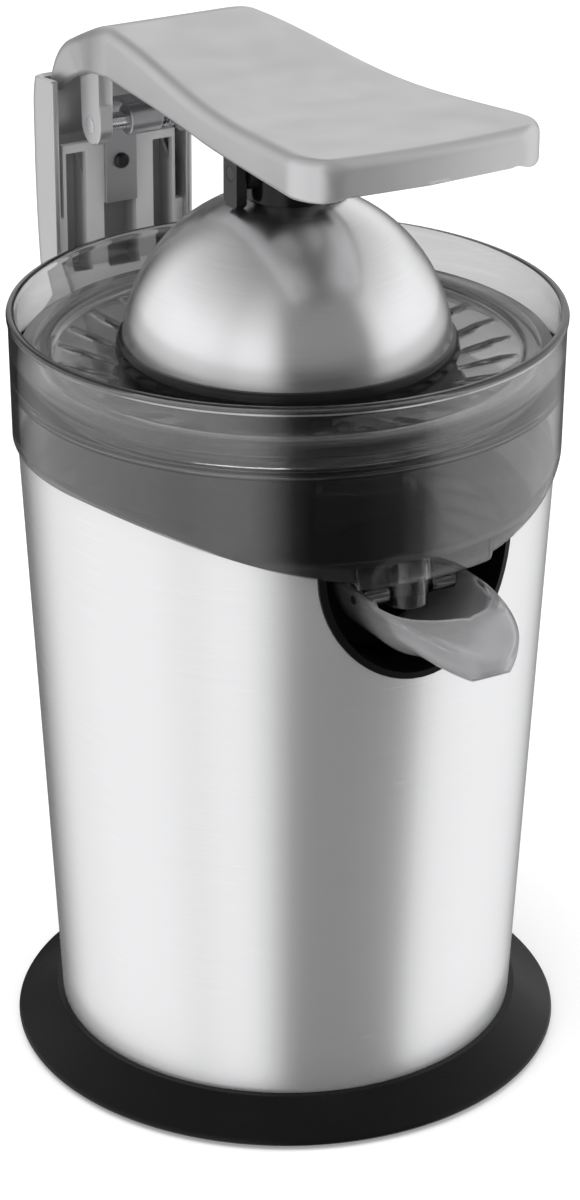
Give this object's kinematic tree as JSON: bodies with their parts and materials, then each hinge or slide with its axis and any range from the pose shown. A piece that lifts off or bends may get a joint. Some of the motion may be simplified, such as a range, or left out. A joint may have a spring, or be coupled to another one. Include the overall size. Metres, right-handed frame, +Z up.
{
  "type": "electric citrus juicer",
  "caption": "Electric citrus juicer: a brushed steel body with a geared motor turns a ribbed cone; a hinged arm presses the fruit down with a dome, and juice runs out of a tilting spout.",
  "frame": {"origin": "on the floor under the drive shaft, in the middle between the feet", "axes": "+Z up along the drive shaft, -Y towards the spout and the arm's free end, +X to the right as seen from the front"},
  "size_m": [0.1908, 0.2669, 0.346],
  "materials": {
    "black_satin": "satin black moulded plastic",
    "rubber": "soft black rubber",
    "brushed_sleeve": "steel brushed round the body",
    "dome_steel": "fine satin steel",
    "dark_plastic": "dark grey plastic",
    "smoky_clear": "smoky see-through plastic, glossy",
    "frosted_clear": "milky see-through plastic, glossy",
    "black_gloss": "black plastic, semi-gloss",
    "silver_paint": "silver-grey painted plastic, semi-gloss",
    "grey_plastic": "mid-grey plastic",
    "bright_steel": "bright steel",
    "dark_steel": "dark steel",
    "lamination": "stacked steel sheets",
    "copper": "enamelled copper",
    "motor_caps": "pressed metal",
    "carbon": "pressed carbon",
    "white_plastic": "natural engineering plastic",
    "pinion_steel": "cut steel",
    "bronze": "sintered bronze",
    "switch_plastic": "black plastic"
  },
  "bodies": {
    "stand": {"base_skirt": "black_satin", "base_plate": "black_satin", "rubber_feet": "rubber", "base_screws": "bright_steel", "inlet_grommet": "rubber", "body_sleeve": "brushed_sleeve", "inner_housing": "dark_plastic", "spout_recess": "dark_plastic", "top_deck": "dark_plastic", "deck_screws": "bright_steel", "motor_stator": "lamination", "stator_coils": "copper", "motor_lower_cap": "motor_caps", "motor_upper_cap": "motor_caps", "motor_screws": "bright_steel", "carbon_brushes": "carbon", "motor_bearings": "bright_steel", "gear_case": "white_plastic", "gear_case_cover": "white_plastic", "case_screws": "bright_steel", "second_gear_pin": "bright_steel", "shaft_bush": "bronze", "shaft_seal": "rubber", "return_spring": "bright_steel", "micro_switch": "switch_plastic", "juice_collector": "smoky_clear", "strainer": "smoky_clear", "spout_pins": "bright_steel", "hinge_pin": "bright_steel", "torsion_spring": "bright_steel", "hinge_tongue": "dark_steel", "tongue_screw": "dark_steel", "column_shell": "silver_paint", "column_frame": "grey_plastic", "column_screws": "bright_steel"},
    "rotor": {"motor_rotor": "lamination", "motor_shaft": "bright_steel", "commutator": "copper", "cooling_fan": "white_plastic", "motor_pinion": "pinion_steel"},
    "second_shaft": {"second_gear": "white_plastic"},
    "output_wheel": {"output_gear": "white_plastic"},
    "plunger": {"press_plunger": "white_plastic"},
    "cone": {"drive_shaft": "bright_steel", "reamer_cone": "black_gloss"},
    "lever": {"switch_lever": "bright_steel"},
    "arm": {"arm_top_shell": "silver_paint", "arm_bottom_cover": "silver_paint", "arm_screws": "bright_steel", "arm_yoke": "black_gloss", "yoke_screws": "bright_steel", "hinge_drum": "silver_paint", "dome_pin": "bright_steel"},
    "dome": {"dome_shell": "dome_steel", "dome_liner": "black_gloss", "dome_hub": "black_gloss", "dome_screw": "bright_steel"},
    "spout_part": {"spout": "frosted_clear"}
  },
  "joints": [
    {"name": "motor_spin", "type": "hinge", "parent": "stand", "child": "rotor", "pos_m": [-0.02673, 0.02388, 0.12], "axis": [0, 0, 1], "continuous": true},
    {"name": "second_spin", "type": "hinge", "parent": "stand", "child": "second_shaft", "pos_m": [0, 0.0375, 0.17], "axis": [0, 0, 1], "continuous": true},
    {"name": "output_spin", "type": "hinge", "parent": "stand", "child": "output_wheel", "pos_m": [0, 0, 0.18], "axis": [0, 0, 1], "continuous": true},
    {"name": "cone_press", "type": "slide", "parent": "stand", "child": "plunger", "axis": [0, 0, -1], "range_m": [0, 0.0025], "stiffness_N_per_m": 3000, "springref_m": -0.002, "deforming": ["return_spring"]},
    {"name": "cone_spin", "type": "hinge", "parent": "plunger", "child": "cone", "pos_m": [0, 0, 0.2], "axis": [0, 0, 1], "continuous": true},
    {"name": "lever_swing", "type": "hinge", "parent": "stand", "child": "lever", "pos_m": [0.025, 0, 0.1552], "axis": [0, -1, 0], "range_deg": [0, 6]},
    {"name": "arm_lift", "type": "hinge", "parent": "stand", "child": "arm", "pos_m": [0, 0.102, 0.303], "axis": [-1, 0, 0], "range_deg": [0, 48], "deforming": ["torsion_spring"]},
    {"name": "dome_tilt", "type": "hinge", "parent": "arm", "child": "dome", "pos_m": [0, 0, 0.315], "axis": [1, 0, 0], "range_deg": [-3, 3]},
    {"name": "spout_tilt", "type": "hinge", "parent": "stand", "child": "spout_part", "pos_m": [0, -0.0765, 0.195], "axis": [-1, 0, 0], "range_deg": [0, 18]}
  ],
  "couplings": [
    {"joint": "second_spin", "follows": "motor_spin", "ratio": -0.2},
    {"joint": "output_spin", "follows": "motor_spin", "ratio": 0.04},
    {"joint": "cone_spin", "follows": "motor_spin", "ratio": 0.04},
    {"joint": "lever_swing", "follows": "cone_press", "rad_per_m": 40}
  ]
}
